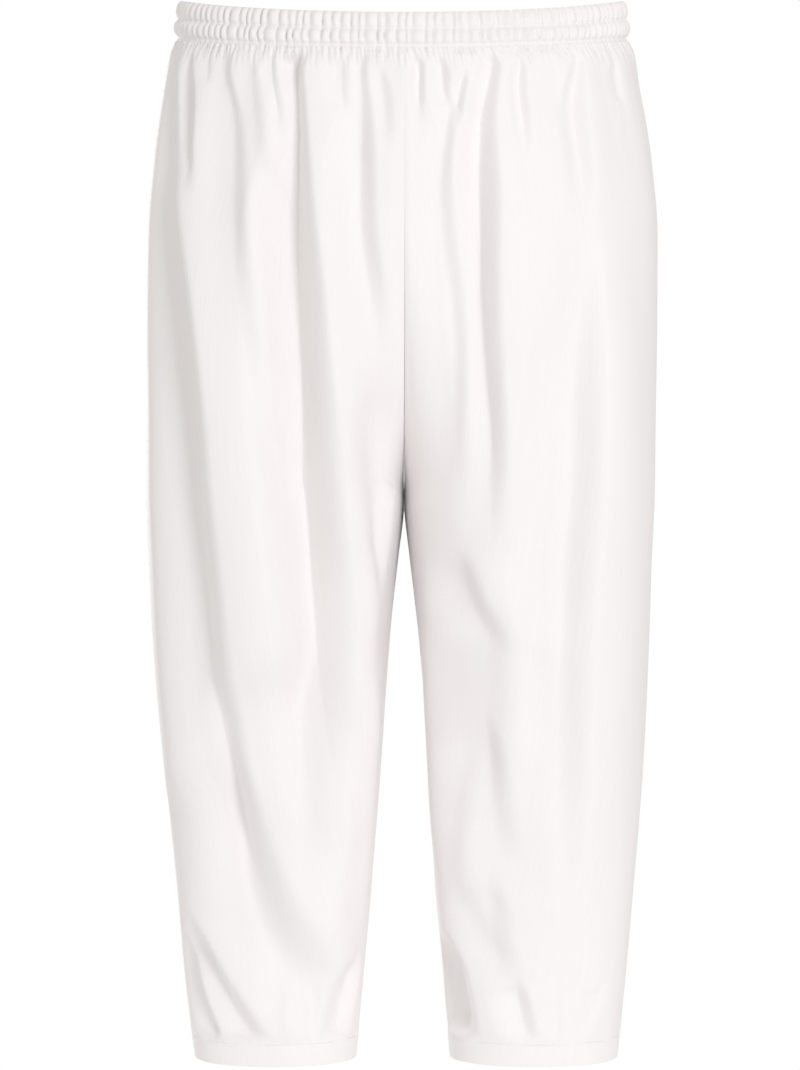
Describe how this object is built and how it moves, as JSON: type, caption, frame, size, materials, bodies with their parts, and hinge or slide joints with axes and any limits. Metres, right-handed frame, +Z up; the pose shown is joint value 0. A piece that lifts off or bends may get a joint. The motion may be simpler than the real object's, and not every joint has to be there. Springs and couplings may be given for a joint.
{
  "type": "salwar",
  "caption": "Loose white trousers with a gathered elastic waistband, tapered legs and narrow ankle bands, hollow and filled out as worn.",
  "frame": {"origin": "middle of the waist opening, at half the waistband's height, where the wearer's waist holds the garment", "axes": "+X to the wearer's left, +Y to the back, +Z up along the body"},
  "size_m": [0.47, 0.3367, 0.974],
  "materials": {
    "leg_cloth": "soft off-white woven cotton blend with faint slubs, matt with a slight satin sheen",
    "waistband_cloth": "the same cloth, gathered over elastic in two stitched tunnels",
    "ankle_band_cloth": "the same cloth, turned in, pressed smooth and stitched"
  },
  "bodies": {
    "root": {"waistband": "waistband_cloth", "front_right": "leg_cloth", "back_right": "leg_cloth", "ankle_band_right": "ankle_band_cloth", "front_left": "leg_cloth", "back_left": "leg_cloth", "ankle_band_left": "ankle_band_cloth"}
  },
  "joints": []
}
